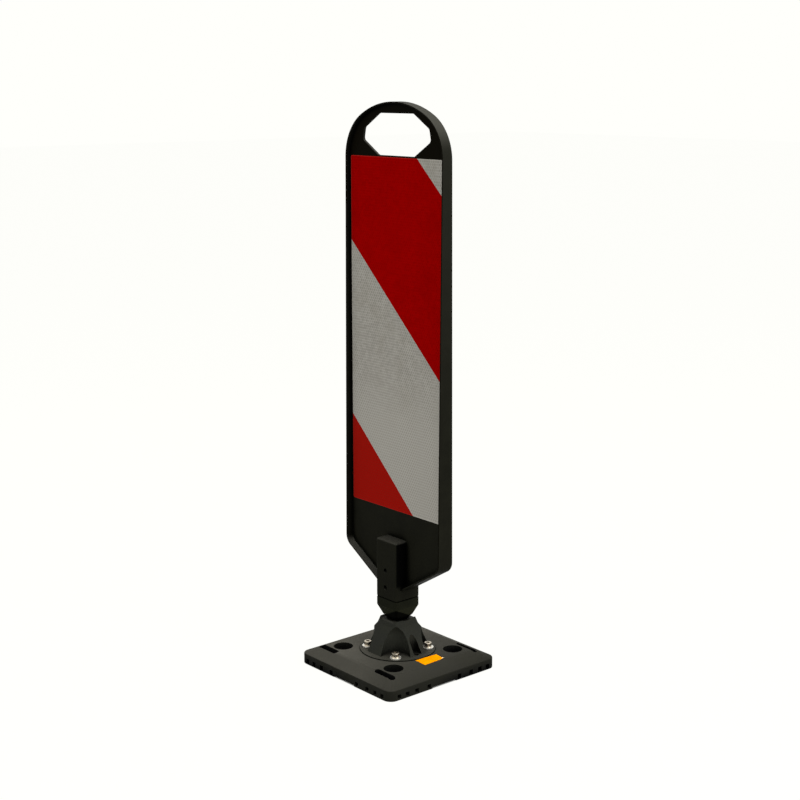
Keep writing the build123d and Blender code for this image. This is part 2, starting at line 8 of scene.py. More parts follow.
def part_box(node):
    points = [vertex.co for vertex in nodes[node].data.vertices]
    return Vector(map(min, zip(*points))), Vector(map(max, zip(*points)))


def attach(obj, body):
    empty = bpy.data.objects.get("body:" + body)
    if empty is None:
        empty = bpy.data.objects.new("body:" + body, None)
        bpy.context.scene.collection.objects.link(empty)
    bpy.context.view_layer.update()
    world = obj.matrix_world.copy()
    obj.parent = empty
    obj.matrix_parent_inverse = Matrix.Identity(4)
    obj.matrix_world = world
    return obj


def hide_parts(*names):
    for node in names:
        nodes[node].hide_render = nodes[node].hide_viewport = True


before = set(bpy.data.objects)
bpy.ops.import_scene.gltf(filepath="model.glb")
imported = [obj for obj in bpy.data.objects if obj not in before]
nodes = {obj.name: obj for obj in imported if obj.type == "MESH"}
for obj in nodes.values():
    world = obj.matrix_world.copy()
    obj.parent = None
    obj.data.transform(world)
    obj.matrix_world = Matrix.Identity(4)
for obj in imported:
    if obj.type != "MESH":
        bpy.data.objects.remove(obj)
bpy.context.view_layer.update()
scene = bpy.context.scene
scene.view_settings.view_transform = "Standard"
print("frame loaded:", len(nodes), "CAD nodes")


# a screen colour, 0 to 255, on the straight scale that shaders use
def srgb(red, green, blue):
    def straight(value):
        value = value / 255
        return value / 12.92 if value <= 0.04045 else ((value + 0.055) / 1.055) ** 2.4
    return (straight(red), straight(green), straight(blue), 1.0)


# small helpers for node trees
def feed(tree, value, socket):
    if isinstance(value, bpy.types.NodeSocket):
        tree.links.new(value, socket)
    else:
        socket.default_value = value


def addNode(tree, kind, *inputs, **settings):
    node = tree.nodes.new(kind)
    for name, value in settings.items():
        setattr(node, name, value)
    for place, value in enumerate(inputs):
        feed(tree, value, node.inputs[place])
    return node


def maths(tree, operation, *inputs, clamp=False):
    node = addNode(tree, "ShaderNodeMath", *inputs, operation=operation, use_clamp=clamp)
    return node.outputs[0]


def vectorMaths(tree, operation, *inputs):
    node = addNode(tree, "ShaderNodeVectorMath", *inputs, operation=operation)
    return node.outputs["Value"] if operation in ("LENGTH", "DOT_PRODUCT") else node.outputs[0]


def splitXyz(tree, vector):
    return addNode(tree, "ShaderNodeSeparateXYZ", vector).outputs


def ramp(tree, value, fromLow, fromHigh, toLow=0.0, toHigh=1.0):
    node = addNode(tree, "ShaderNodeMapRange", value, fromLow, fromHigh, toLow, toHigh)
    node.interpolation_type = "SMOOTHSTEP"
    return node.outputs[0]


mixPlaces = {"VECTOR": (4, 5, 1), "RGBA": (6, 7, 2)}   # sockets of the first, second and result


def mixValues(tree, kind, share, first, second, blend="MIX"):
    node = addNode(tree, "ShaderNodeMix", data_type=kind, blend_type=blend)
    firstPlace, secondPlace, resultPlace = mixPlaces[kind]
    feed(tree, share, node.inputs[0])
    feed(tree, first, node.inputs[firstPlace])
    feed(tree, second, node.inputs[secondPlace])
    return node.outputs[resultPlace]


def mixColour(tree, share, first, second, blend="MIX"):
    return mixValues(tree, "RGBA", share, first, second, blend)


def tinted(tree, colour, mask, share, tone):
    return mixColour(tree, maths(tree, "MULTIPLY", mask, share), colour, tone)


def noiseValue(tree, vector, scale, detail=3.0, roughness=0.55):
    node = addNode(tree, "ShaderNodeTexNoise", vector)
    feed(tree, scale, node.inputs["Scale"])
    node.inputs["Detail"].default_value = detail
    node.inputs["Roughness"].default_value = roughness
    return node.outputs[0]


def objectSpot(tree):
    return tree.nodes.new("ShaderNodeTexCoord").outputs["Object"]


# inputs are numbers or vectors with their first values, outputs are numbers
def newGroup(name, inputs, outputs):
    group = bpy.data.node_groups.new(name, "ShaderNodeTree")
    for label, value in inputs.items():
        kind = "NodeSocketFloat" if isinstance(value, float) else "NodeSocketVector"
        socket = group.interface.new_socket(label, in_out="INPUT", socket_type=kind)
        socket.default_value = value
    for label in outputs:
        group.interface.new_socket(label, in_out="OUTPUT", socket_type="NodeSocketFloat")
    given = group.nodes.new("NodeGroupInput").outputs
    out = group.nodes.new("NodeGroupOutput").inputs
    return group, given, out


def placeGroup(tree, group, **values):
    node = addNode(tree, "ShaderNodeGroup", node_tree=group)
    for label, value in values.items():
        feed(tree, value, node.inputs[label])
    return node.outputs


# fine moulded grain, with paler and darker patches
grainLook = dict(
    fine=dict(detail=2.0, roughness=0.5), patch=dict(detail=5.0, roughness=0.62),
    mottleSpan=(0.32, 0.68),
)


def makeMouldGrain(look):
    group, given, out = newGroup("mouldGrain", dict(fine=1400.0, patch=40.0), ("height", "mottle"))
    where = objectSpot(group)
    patch = noiseValue(group, where, given["patch"], **look["patch"])
    feed(group, noiseValue(group, where, given["fine"], **look["fine"]), out["height"])
    feed(group, ramp(group, patch, *look["mottleSpan"]), out["mottle"])
    return group


# edges rubbed pale here and there, partly a painted highlight where edges catch light
rubAndGlintLook = dict(
    samples=4, turnSpan=(0.02, 0.22), worn=dict(detail=2.0, roughness=0.5), wornSpan=(0.38, 0.62),
)


def makeEdgeRubAndGlint(look):
    group, given, out = newGroup("edgeRubAndGlint", dict(width=0.001, breakUp=160.0), ("mask",))
    soft = addNode(group, "ShaderNodeBevel", given["width"], samples=look["samples"]).outputs[0]
    hard = group.nodes.new("ShaderNodeNewGeometry").outputs["Normal"]
    turned = maths(group, "SUBTRACT", 1.0, vectorMaths(group, "DOT_PRODUCT", soft, hard))
    edge = ramp(group, turned, *look["turnSpan"])
    patchy = noiseValue(group, objectSpot(group), given["breakUp"], **look["worn"])
    worn = ramp(group, patchy, *look["wornSpan"])
    feed(group, maths(group, "MULTIPLY", edge, worn, clamp=True), out["mask"])
    return group


# dust on faces that look up, thinner below a ledge, with painted light and shade from a lean:
# lighter towards one side
dustLook = dict(
    cloud=dict(scale=30.0, detail=6.0), cloudSpan=(0.35, 0.75), cloudShare=0.65,
    dots=dict(scale=700.0), dotsSpan=(0.48, 0.72), dotsShare=0.35,
    ledgeStep=0.002,
)


def makeDustAndLight(look):
    group, given, out = newGroup(
        "dustAndPaintedLight",
        dict(
            even=0.0, level=0.8, lean=(0.0, 0.0, 0.0), upLow=0.5, upHigh=1.0,
            ledgeHeight=-1.0, ledgeCap=1.0,
        ),
        ("mask",),
    )
    place = group.nodes.new("ShaderNodeTexCoord").outputs
    where = place["Object"]
    facing = ramp(group, splitXyz(group, place["Normal"])[2], given["upLow"], given["upHigh"])
    cloud = ramp(group, noiseValue(group, where, **look["cloud"]), *look["cloudSpan"])
    dots = ramp(group, noiseValue(group, where, **look["dots"]), *look["dotsSpan"])
    patchy = maths(
        group, "ADD",
        maths(group, "MULTIPLY", cloud, look["cloudShare"]),
        maths(group, "MULTIPLY", dots, look["dotsShare"]),
    )
    cover = ramp(group, given["even"], 0.0, 1.0, patchy, 1.0)
    shift = vectorMaths(group, "DOT_PRODUCT", where, given["lean"])
    thinning = maths(group, "ADD", given["level"], shift, clamp=True)
    above = maths(group, "SUBTRACT", splitXyz(group, where)[2], given["ledgeHeight"])
    capped = ramp(group, above, 0.0, look["ledgeStep"], given["ledgeCap"], 1.0)
    thinning = maths(group, "MINIMUM", thinning, capped)
    laid = maths(group, "MULTIPLY", cover, thinning, clamp=True)
    feed(group, maths(group, "MULTIPLY", facing, laid, clamp=True), out["mask"])
    return group


# painted shade in hollows, from ambient occlusion, with less of it about one spot
occlusionShadeLook = dict(samples=8, cleanCore=0.55, cleanShare=0.8)


def makeOcclusionShade(look):
    group, given, out = newGroup(
        "occlusionShade",
        dict(
            reach=0.03, open=0.62, shut=0.34,
            cleanAt=(0.0, 0.0, 0.0), cleanReach=0.0001, cleanTop=0.0,
        ),
        ("mask",),
    )
    hollow = addNode(group, "ShaderNodeAmbientOcclusion", samples=look["samples"])
    feed(group, given["reach"], hollow.inputs["Distance"])
    deep = ramp(group, hollow.outputs["AO"], given["open"], given["shut"])
    where = objectSpot(group)
    away = vectorMaths(group, "LENGTH", vectorMaths(group, "SUBTRACT", where, given["cleanAt"]))
    core = maths(group, "MULTIPLY", given["cleanReach"], look["cleanCore"])
    near = ramp(group, away, given["cleanReach"], core)
    below = maths(group, "LESS_THAN", splitXyz(group, where)[2], given["cleanTop"])
    clean = maths(group, "MULTIPLY", maths(group, "MULTIPLY", near, below), look["cleanShare"])
    kept = maths(group, "SUBTRACT", 1.0, clean)
    feed(group, maths(group, "MULTIPLY", deep, kept, clamp=True), out["mask"])
    return group


# painted shade on the board's faces and painted light on its sides, both growing with height,
# painted shade on its socket's side, and where its socket is
upperShadingLook = dict(
    hollowSpan=(0.6, 0.9), hollowStep=0.006, rimStep=0.001,
    faceSpan=(0.5, 0.9), sideSpan=(0.3, 0.9),
)


def makeUpperShading(look):
    group, given, out = newGroup(
        "upperShading",
        dict(low=0.3, high=0.95, rim=0.12, socketHalf=0.03, hollowFoot=0.15),
        ("faces", "sides", "core", "hollow"),
    )
    place = group.nodes.new("ShaderNodeTexCoord").outputs
    normal = splitXyz(group, place["Normal"])
    spot = splitXyz(group, place["Object"])
    rise = ramp(group, spot[2], given["low"], given["high"])
    across = maths(group, "ABSOLUTE", spot[0])
    sideways = ramp(group, maths(group, "ABSOLUTE", normal[0]), *look["hollowSpan"])
    core = maths(group, "LESS_THAN", across, given["socketHalf"])
    height = maths(group, "SUBTRACT", spot[2], given["hollowFoot"])
    lifted = ramp(group, height, 0.0, look["hollowStep"])
    feed(group, core, out["core"])
    sunk = maths(group, "MULTIPLY", maths(group, "MULTIPLY", core, sideways), lifted)
    feed(group, sunk, out["hollow"])
    outside = maths(group, "SUBTRACT", across, given["rim"])
    front = maths(group, "MAXIMUM", rise, ramp(group, outside, 0.0, look["rimStep"]))
    for label, axis, span, share in (
        ("faces", 1, look["faceSpan"], front), ("sides", 0, look["sideSpan"], rise),
    ):
        turned = ramp(group, maths(group, "ABSOLUTE", normal[axis]), *span)
        feed(group, maths(group, "MULTIPLY", turned, share, clamp=True), out[label])
    return group


# the block's taper: painted light above a slanting line and painted shade below it, the line
# highest at the front corner
taperLook = dict(
    front=(math.sqrt(0.5), -math.sqrt(0.5), 0.0), keelStep=0.002, downSpan=(-0.15, -0.45),
)


def makeTaperTone(look):
    group, given, out = newGroup("taperTone", dict(keel=0.1, slope=0.0), ("under", "facetShade"))
    place = group.nodes.new("ShaderNodeTexCoord").outputs
    towardsFront = vectorMaths(group, "DOT_PRODUCT", place["Object"], look["front"])
    slant = maths(group, "MULTIPLY", towardsFront, given["slope"])
    keelLine = maths(group, "ADD", given["keel"], slant)
    height = maths(group, "SUBTRACT", splitXyz(group, place["Object"])[2], keelLine)
    above = ramp(group, height, 0.0, look["keelStep"])
    down = ramp(group, splitXyz(group, place["Normal"])[2], *look["downSpan"])
    feed(group, maths(group, "MULTIPLY", down, above, clamp=True), out["under"])
    below = maths(group, "SUBTRACT", 1.0, above)
    feed(group, maths(group, "MULTIPLY", down, below, clamp=True), out["facetShade"])
    return group


# six-sided cells with raised walls, and a tone for each cell
cellLook = dict(
    half=(0.5, math.sqrt(3) / 2, 0.5), wallTop=0.35,
    nudge=(0.01, 0.01, 0.0), snap=(0.05, 0.05, 0.05),
)


def makeHoneycomb(look):
    group, given, out = newGroup(
        "honeycomb", dict(pitch=0.0054, wall=0.1), ("wallMask", "cellTone"),
    )
    where = splitXyz(group, objectSpot(group))
    across = maths(group, "DIVIDE", where[0], given["pitch"])
    along = maths(group, "DIVIDE", where[2], given["pitch"])
    flat = addNode(group, "ShaderNodeCombineXYZ", across, along, 0.0).outputs[0]
    half = look["half"]
    low = tuple(-length for length in half)
    slantWay = (half[0], half[1], 0.0)
    first = vectorMaths(group, "WRAP", flat, half, low)
    second = vectorMaths(group, "WRAP", vectorMaths(group, "SUBTRACT", flat, slantWay), half, low)
    firstAway, secondAway = (vectorMaths(group, "LENGTH", spot) for spot in (first, second))
    nearer = maths(group, "LESS_THAN", firstAway, secondAway)
    local = mixValues(group, "VECTOR", nearer, second, first)
    folded = vectorMaths(group, "ABSOLUTE", local)
    slant = vectorMaths(group, "DOT_PRODUCT", folded, slantWay)
    reach = maths(group, "MAXIMUM", slant, splitXyz(group, folded)[0])
    inner = maths(group, "SUBTRACT", half[0], given["wall"])
    topWidth = maths(group, "MULTIPLY", given["wall"], look["wallTop"])
    outer = maths(group, "SUBTRACT", half[0], topWidth)
    feed(group, ramp(group, reach, inner, outer), out["wallMask"])
    centre = vectorMaths(group, "SUBTRACT", flat, local)
    nudged = vectorMaths(group, "ADD", centre, look["nudge"])
    snapped = vectorMaths(group, "SNAP", nudged, look["snap"])
    tone = addNode(group, "ShaderNodeTexWhiteNoise", snapped, noise_dimensions="3D").outputs[0]
    feed(group, tone, out["cellTone"])
    return group


# thin scratches in two directions, each a turn and a stretch
scratchLook = dict(
    ways=((0.35, 0.06), (-0.9, 0.05)), turnShares=(1.0, 0.6, 1.7),
    line=dict(detail=6.0, roughness=0.7), lineSpan=(0.66, 0.72),
)


def makeFineScratches(look):
    group, given, out = newGroup("fineScratches", dict(density=90.0), ("mask",))
    where = objectSpot(group)
    lines = []
    for turn, stretch in look["ways"]:
        aimed = addNode(group, "ShaderNodeMapping", where)
        aimed.inputs["Rotation"].default_value = [turn * share for share in look["turnShares"]]
        aimed.inputs["Scale"].default_value = (1.0, stretch, stretch)
        line = noiseValue(group, aimed.outputs[0], given["density"], **look["line"])
        lines.append(ramp(group, line, *look["lineSpan"]))
    feed(group, maths(group, "MAXIMUM", *lines), out["mask"])
    return group


mouldGrain = makeMouldGrain(grainLook)
edgeRubAndGlint = makeEdgeRubAndGlint(rubAndGlintLook)
dustAndPaintedLight = makeDustAndLight(dustLook)
occlusionShade = makeOcclusionShade(occlusionShadeLook)
upperShading = makeUpperShading(upperShadingLook)
taperTone = makeTaperTone(taperLook)
honeycomb = makeHoneycomb(cellLook)
fineScratches = makeFineScratches(scratchLook)
print("shared effects made")


def startFinish(name):
    finish = bpy.data.materials.new(name)
    finish.use_nodes = True
    tree = finish.node_tree
    tree.nodes.clear()
    shader = tree.nodes.new("ShaderNodeBsdfPrincipled")
    tree.links.new(shader.outputs[0], tree.nodes.new("ShaderNodeOutputMaterial").inputs[0])
    return finish, tree, shader


def addBump(tree, shader, height, look):
    bump = tree.nodes.new("ShaderNodeBump")
    bump.inputs["Strength"].default_value = look["bump"]
    bump.inputs["Distance"].default_value = look["bumpDepth"]
    feed(tree, height, bump.inputs["Height"])
    feed(tree, bump.outputs[0], shader.inputs["Normal"])


def setRoughness(tree, shader, mask, look):
    feed(tree, ramp(tree, mask, 0.0, 1.0, *look["roughness"]), shader.inputs["Roughness"])


# moulded rubber and plastic; each dust lean paints light and shade, lighter towards -x on the plate
# and housing, darker with height on the board
rubberLook = dict(
    colour=srgb(31, 31, 25), shade=srgb(26, 26, 21), fine=1300.0, patch=34.0,
    dustAndLight=srgb(82, 80, 73), dustAndLightShare=0.95, dustEven=0.85, dustLevel=0.72,
    dustLightLean=(-4.6, -0.8, 0.0), dustUp=(0.5, 1.0), dustLedge=(0.0285, 0.66), dustOver=0.0,
    rubAndGlint=srgb(84, 82, 75), rubAndGlintShare=0.3, rubAndGlintWidth=0.0016,
    grimeAndShade=srgb(1, 1, 1), occlusionShadeShare=1.0, occlusionShadeReach=0.035, occlusionShadeSpan=(0.83, 0.57),
    cleanSpot=dict(cleanAt=(0.124, -0.124, 0.0), cleanReach=0.15, cleanTop=0.017),
    roughness=(0.7, 0.88), specular=0.06, bump=0.32, bumpDepth=0.0004,
)
housingLook = dict(
    colour=srgb(37, 38, 32), shade=srgb(31, 32, 27), fine=1500.0, patch=46.0,
    dustAndLight=srgb(71, 69, 62), dustAndLightShare=0.85, dustEven=0.75, dustLevel=0.8,
    dustLightLean=(-6.0, 0.0, 0.0), dustUp=(0.5, 1.0), dustLedge=(-1.0, 1.0), dustOver=0.0,
    rubAndGlint=srgb(78, 77, 70), rubAndGlintShare=0.4, rubAndGlintWidth=0.0012,
    grimeAndShade=srgb(3, 3, 2), occlusionShadeShare=0.9, occlusionShadeReach=0.03, occlusionShadeSpan=(0.72, 0.4),
    roughness=(0.52, 0.7), specular=0.07, bump=0.2, bumpDepth=0.0003,
)
boardLook = dict(
    colour=srgb(26, 26, 20), shade=srgb(22, 22, 17), fine=620.0, patch=26.0,
    dustAndLight=srgb(74, 73, 67), dustAndLightShare=0.92, dustEven=0.9, dustLevel=0.98,
    dustLightLean=(0.0, 0.0, -0.35), dustUp=(0.15, 0.75), dustLedge=(-1.0, 1.0), dustOver=1.5,
    rubAndGlint=srgb(52, 52, 46), rubAndGlintShare=0.5, rubAndGlintWidth=0.0015,
    grimeAndShade=srgb(3, 3, 2), occlusionShadeShare=0.8, occlusionShadeReach=0.016, occlusionShadeSpan=(0.86, 0.6),
    # painted shade on upper faces and on the socket side, painted light on upper sides
    washed=srgb(9, 7, 3), washedShare=0.95, scuff=srgb(32, 32, 27), scuffShare=0.7,
    heightShading=dict(low=0.35, high=0.95, rim=0.1205, socketHalf=0.0285, hollowFoot=0.152),
    hollow=srgb(4, 4, 4), hollowShare=0.95, coreClean=0.5,
    roughness=(0.42, 0.56), specular=0.008, bump=0.3, bumpDepth=0.0005,
)
blockLook = dict(
    boardLook, colour=srgb(27, 28, 20), shade=srgb(23, 24, 17), patch=60.0,
    dustUp=(0.9, 1.0), dustOver=0.0, rubAndGlintShare=0.04,
    grimeAndShade=srgb(1, 1, 1), occlusionShadeShare=1.0, occlusionShadeReach=0.01, occlusionShadeSpan=(0.92, 0.68),
    # painted light on the taper's underside, painted shade on the facet below its line
    taper=dict(keel=0.0905, slope=0.58), under=srgb(36, 37, 27), underShare=0.9,
    facetShade=srgb(3, 3, 3), facetShadeShare=0.92, hollowShare=0.0,
)
torsionLook = dict(rubberLook, colour=srgb(28, 28, 27), shade=srgb(22, 22, 21), dustAndLightShare=0.1)


def mouldedFinish(name, look):
    finish, tree, shader = startFinish(name)
    grain = placeGroup(tree, mouldGrain, fine=look["fine"], patch=look["patch"])
    upLow, upHigh = look["dustUp"]
    ledgeHeight, ledgeCap = look["dustLedge"]
    dustAndLight = placeGroup(
        tree, dustAndPaintedLight, even=look["dustEven"], level=look["dustLevel"], lean=look["dustLightLean"],
        upLow=upLow, upHigh=upHigh, ledgeHeight=ledgeHeight, ledgeCap=ledgeCap,
    )["mask"]
    colour = mixColour(tree, grain["mottle"], look["shade"], look["colour"])
    if "taper" in look:   # painted light on the taper, painted shade on a facet below
        taper = placeGroup(tree, taperTone, **look["taper"])
        for part in ("facetShade", "under"):
            colour = tinted(tree, colour, taper[part], look[part + "Share"], look[part])
    if "heightShading" in look:   # painted shade on the socket side and on faces towards the top and on the rim, painted light on sides towards the top
        heightShading = placeGroup(tree, upperShading, **look["heightShading"])
        swept = maths(tree, "MULTIPLY", heightShading["core"], look["coreClean"])
        dustAndLight = maths(tree, "MULTIPLY", dustAndLight, maths(tree, "SUBTRACT", 1.0, swept))
        for mask, part in (("hollow", "hollow"), ("faces", "washed"), ("sides", "scuff")):
            colour = tinted(tree, colour, heightShading[mask], look[part + "Share"], look[part])
    # dust on upward faces, with painted light and shade from its lean
    colour = tinted(tree, colour, dustAndLight, look["dustAndLightShare"], look["dustAndLight"])
    # pale rubbed edges, partly a painted edge highlight
    rubAndGlint = placeGroup(tree, edgeRubAndGlint, width=look["rubAndGlintWidth"])["mask"]
    colour = tinted(tree, colour, rubAndGlint, look["rubAndGlintShare"], look["rubAndGlint"])
    # painted shade in hollows, creases and seams, from ambient occlusion
    shadeOpen, shadeShut = look["occlusionShadeSpan"]
    deep = placeGroup(
        tree, occlusionShade, reach=look["occlusionShadeReach"], open=shadeOpen, shut=shadeShut,
        **look.get("cleanSpot", {}),   # less painted shade in the plate's pockets near its front corner
    )["mask"]
    dustOver = maths(tree, "MULTIPLY", dustAndLight, look["dustOver"])
    kept = maths(tree, "SUBTRACT", 1.0, dustOver, clamp=True)
    deep = maths(tree, "MULTIPLY", maths(tree, "MULTIPLY", deep, look["occlusionShadeShare"]), kept)
    colour = mixColour(tree, deep, colour, look["grimeAndShade"])
    feed(tree, colour, shader.inputs["Base Color"])
    setRoughness(tree, shader, grain["mottle"], look)
    shader.inputs["Specular IOR Level"].default_value = look["specular"]
    addBump(tree, shader, grain["height"], look)
    return finish


plateRubber = mouldedFinish("plateRubber", rubberLook)
housingPlastic = mouldedFinish("housingPlastic", housingLook)
boardPlastic = mouldedFinish("boardPlastic", boardLook)
blockPlastic = mouldedFinish("blockPlastic", blockLook)
torsionRubber = mouldedFinish("torsionRubber", torsionLook)


# metals
metalLook = dict(
    fine=2400.0, patch=210.0, stainShare=0.55, grainShare=0.4, bump=0.12, bumpDepth=0.0001,
)
brightLook = dict(
    metalLook, colour=srgb(206, 197, 180), stain=srgb(124, 112, 92),
    roughness=(0.2, 0.4), density=140.0,
)
washerLook = dict(
    metalLook, colour=srgb(240, 238, 232), stain=srgb(196, 192, 184),
    roughness=(0.42, 0.62), density=90.0,
)
zincLook = dict(
    metalLook, colour=srgb(178, 178, 172), stain=srgb(120, 118, 108),
    roughness=(0.36, 0.55), density=70.0,
)
blackLook = dict(
    metalLook, colour=srgb(16, 16, 15), stain=srgb(8, 8, 8),
    roughness=(0.4, 0.6), density=60.0,
)
darkLook = dict(
    metalLook, colour=srgb(58, 57, 55), stain=srgb(34, 33, 31),
    roughness=(0.34, 0.5), density=60.0,
)
bronzeLook = dict(
    metalLook, colour=srgb(168, 124, 66), stain=srgb(104, 74, 38),
    roughness=(0.3, 0.5), density=80.0,
)


def metalFinish(name, look):
    finish, tree, shader = startFinish(name)
    scratch = placeGroup(tree, fineScratches, density=look["density"])["mask"]
    grain = placeGroup(tree, mouldGrain, fine=look["fine"], patch=look["patch"])
    colour = tinted(tree, look["colour"], grain["mottle"], look["stainShare"], look["stain"])
    feed(tree, colour, shader.inputs["Base Color"])
    setRoughness(tree, shader, maths(tree, "MAXIMUM", scratch, grain["mottle"]), look)
    shader.inputs["Metallic"].default_value = 1.0
    pitted = maths(tree, "MULTIPLY", grain["height"], look["grainShare"])
    addBump(tree, shader, maths(tree, "ADD", pitted, scratch), look)
    return finish


brightSteel = metalFinish("brightSteel", brightLook)
washerSteel = metalFinish("washerSteel", washerLook)
zincSteel = metalFinish("zincSteel", zincLook)
darkSteel = metalFinish("darkSteel", darkLook)
blackSteel = metalFinish("blackSteel", blackLook)
bronze = metalFinish("bronze", bronzeLook)


# honeycomb reflective sheeting
filmLow = Vector(map(min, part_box("front_red_film")[0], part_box("front_white_film")[0]))
filmHigh = Vector(map(max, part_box("front_red_film")[1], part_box("front_white_film")[1]))
sheetingLook = dict(
    pitch=0.0054, wall=0.14, sealHighlightWidth=0.0016, sealHighlightCore=0.5, sealHighlightShare=0.7,
    dirt=dict(scale=18.0, detail=6.0, roughness=0.6), dirtSpan=(0.42, 0.74), dirtShare=0.4,
    reflectionTop=0.56, reflectionFoot=0.42, reflectionShare=0.85, bump=0.18, bumpDepth=0.00015,
)
redLook = dict(
    sheetingLook, cell=srgb(142, 0, 0), wallTone=srgb(154, 4, 3), grimeAndShade=srgb(126, 0, 0),
    sealAndHighlight=srgb(158, 36, 30), reflectedTone=srgb(141, 28, 19), toneSpread=0.1, roughness=(0.3, 0.42),
    specular=0.0,
)
whiteLook = dict(
    sheetingLook, cell=srgb(148, 145, 138), wallTone=srgb(174, 171, 164), grimeAndShade=srgb(132, 128, 117),
    sealAndHighlight=srgb(174, 171, 162), reflectedTone=srgb(152, 149, 142), toneSpread=0.14, roughness=(0.34, 0.46),
    specular=0.01,
)


def sheetingFinish(name, look):
    finish, tree, shader = startFinish(name)
    cells = placeGroup(tree, honeycomb, pitch=look["pitch"], wall=look["wall"])
    where = objectSpot(tree)
    place = splitXyz(tree, where)
    dirt = ramp(tree, noiseValue(tree, where, **look["dirt"]), *look["dirtSpan"])
    colour = mixColour(tree, cells["wallMask"], look["cell"], look["wallTone"])
    tone = ramp(tree, cells["cellTone"], 0.0, 1.0, 1.0 - look["toneSpread"], 1.0)
    colour = mixColour(tree, 1.0, colour, tone, "MULTIPLY")
    colour = tinted(tree, colour, dirt, look["dirtShare"], look["grimeAndShade"])
    # painted reflection of the bright floor, paler cells towards the foot
    reflection = ramp(tree, place[2], look["reflectionTop"], look["reflectionFoot"], 0.0, look["reflectionShare"])
    reflectedColour = mixColour(tree, cells["wallMask"], look["reflectedTone"], look["wallTone"])   # painted reflection of the floor, near the foot
    colour = mixColour(tree, reflection, colour, reflectedColour)
    # a pale band along the film's edges: a sealed edge with a painted highlight where the edge
    # catches light
    sideGap = maths(tree, "SUBTRACT", filmHigh.x, maths(tree, "ABSOLUTE", place[0]))
    topGap = maths(tree, "SUBTRACT", filmHigh.z, place[2])
    footGap = maths(tree, "SUBTRACT", place[2], filmLow.z)
    gap = maths(tree, "MINIMUM", sideGap, maths(tree, "MINIMUM", topGap, footGap))
    sealAndHighlight = ramp(tree, gap, look["sealHighlightWidth"], look["sealHighlightWidth"] * look["sealHighlightCore"])
    colour = tinted(tree, colour, sealAndHighlight, look["sealHighlightShare"], look["sealAndHighlight"])
    feed(tree, colour, shader.inputs["Base Color"])
    setRoughness(tree, shader, dirt, look)
    shader.inputs["Specular IOR Level"].default_value = look["specular"]
    addBump(tree, shader, cells["wallMask"], look)
    return finish


redFilm = sheetingFinish("redFilm", redLook)
whiteFilm = sheetingFinish("whiteFilm", whiteLook)
print("finishes made:", len(bpy.data.materials))

finishOf = {
    "base_plate": plateRubber, "backing_plate": zincSteel, "foot_nuts": zincSteel,
    "foot_washers": washerSteel, "foot_bolts": brightSteel,
    "hinge_housing": housingPlastic, "pivot_post": darkSteel, "post_washer": zincSteel,
    "post_nut": zincSteel, "eye_bush": bronze, "hinge_pin": darkSteel, "pin_cap": blockPlastic,
    "torsion_bushes": torsionRubber, "hinge_block": blockPlastic, "panel_board": boardPlastic,
    "socket_screws": blackSteel, "socket_nuts": zincSteel,
    "front_red_film": redFilm, "front_white_film": whiteFilm,
    "back_red_film": redFilm, "back_white_film": whiteFilm,
}


def dress(name, finish):
    nodes[name].data.materials.clear()
    nodes[name].data.materials.append(finish)


for name, finish in finishOf.items():
    dress(name, finish)


# the orange sticker on the plate
stickerLook = dict(
    cuts=(24, 44), thickness=0.00022, rest=0.00004,
    corners=((-0.0015, 0.0004), (0.0007, -0.0005), (-0.0009, -0.0012), (0.0006, 0.0016)),
    wave=0.00012, waveScale=140, waveShift=(3.1, 0.7, 2.2), lift=0.0014, liftReach=0.009,
    bite=0.0011, biteAt=-0.2, biteSpan=0.16,
    colour=srgb(251, 163, 0), deep=srgb(245, 144, 0), fine=900.0, patch=60.0,
    worn=srgb(226, 134, 0), wornShare=0.4, density=110.0,
    tip=srgb(246, 230, 196), tipSpan=(0.0062, 0.0026),
    roughness=(0.4, 0.55), specular=0.0, bump=0.1, bumpDepth=0.0002,
)


# a slightly skewed sheet with one nibbled end and one corner lifting
def makeSticker(look):
    low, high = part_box("marker_film")
    middle = (low + high) / 2
    size = high - low
    mesh = bmesh.new()
    columns, rows = look["cuts"]
    nearLeft, nearRight, farRight, farLeft = (Vector((x, y, 0.0)) for x, y in look["corners"])
    tipCorner = Vector((0.5 * size.x, 0.5 * size.y))
    grid = []
    for row in range(rows + 1):
        line = []
        for column in range(columns + 1):
            across, along = column / columns, row / rows
            flat = Vector(((across - 0.5) * size.x, (along - 0.5) * size.y, 0.0))
            nearPull = nearLeft.lerp(nearRight, across)
            farPull = farLeft.lerp(farRight, across)
            pulled = flat + nearPull.lerp(farPull, along)
            nibble = max(0.0, 1 - abs(across - 0.5 - look["biteAt"]) / look["biteSpan"])
            pulled.y += nibble * look["bite"] * (1 - along)
            toTip = (tipCorner - Vector((flat.x, flat.y))).length
            curl = max(0.0, 1 - toTip / look["liftReach"]) ** 2 * look["lift"]
            waveSpot = flat * look["waveScale"] + Vector(look["waveShift"])
            ripple = (noise.noise(waveSpot) + 1) * look["wave"]
            height = low.z + look["rest"] + ripple + curl
            line.append(mesh.verts.new((middle.x + pulled.x, middle.y + pulled.y, height)))
        grid.append(line)
    for near, far in zip(grid, grid[1:]):
        for column in range(columns):
            mesh.faces.new((near[column], near[column + 1], far[column + 1], far[column]))
    data = bpy.data.meshes.new("orangeSticker")
    mesh.to_mesh(data)
    mesh.free()
    data.polygons.foreach_set("use_smooth", [True] * len(data.polygons))
    piece = bpy.data.objects.new("orangeSticker", data)
    scene.collection.objects.link(piece)
    shell = piece.modifiers.new("thickness", "SOLIDIFY")
    shell.thickness = look["thickness"]
    shell.offset = 1.0
    return piece


